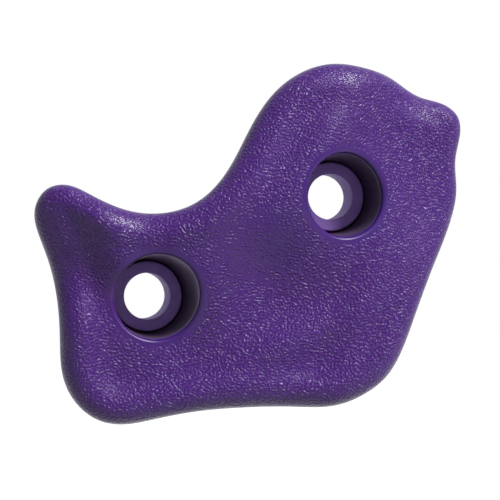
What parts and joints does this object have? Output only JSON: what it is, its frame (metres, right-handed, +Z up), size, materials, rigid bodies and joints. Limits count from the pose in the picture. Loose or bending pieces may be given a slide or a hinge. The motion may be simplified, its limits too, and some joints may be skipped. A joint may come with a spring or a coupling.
{
  "type": "climbing hold",
  "caption": "Freeform moulded climbing hold with a dished, grained front, ribbed open back and flanged bushes in its bolt wells.",
  "frame": {"origin": "middle of the two bolt holes, on the wall's surface", "axes": "+Z up on the wall, -Y out of the wall towards the climber, +X to the right as seen from the front, towards the head-like end"},
  "size_m": [0.1128, 0.0305, 0.0915],
  "materials": {
    "violet_shell": "violet moulded polyethylene with a fine leather grain",
    "violet_bush": "smooth violet moulded nylon, slightly greyer than the shell"
  },
  "bodies": {
    "root": {"hold_shell": "violet_shell", "lower_bolt_bush": "violet_bush", "upper_bolt_bush": "violet_bush"}
  },
  "joints": []
}
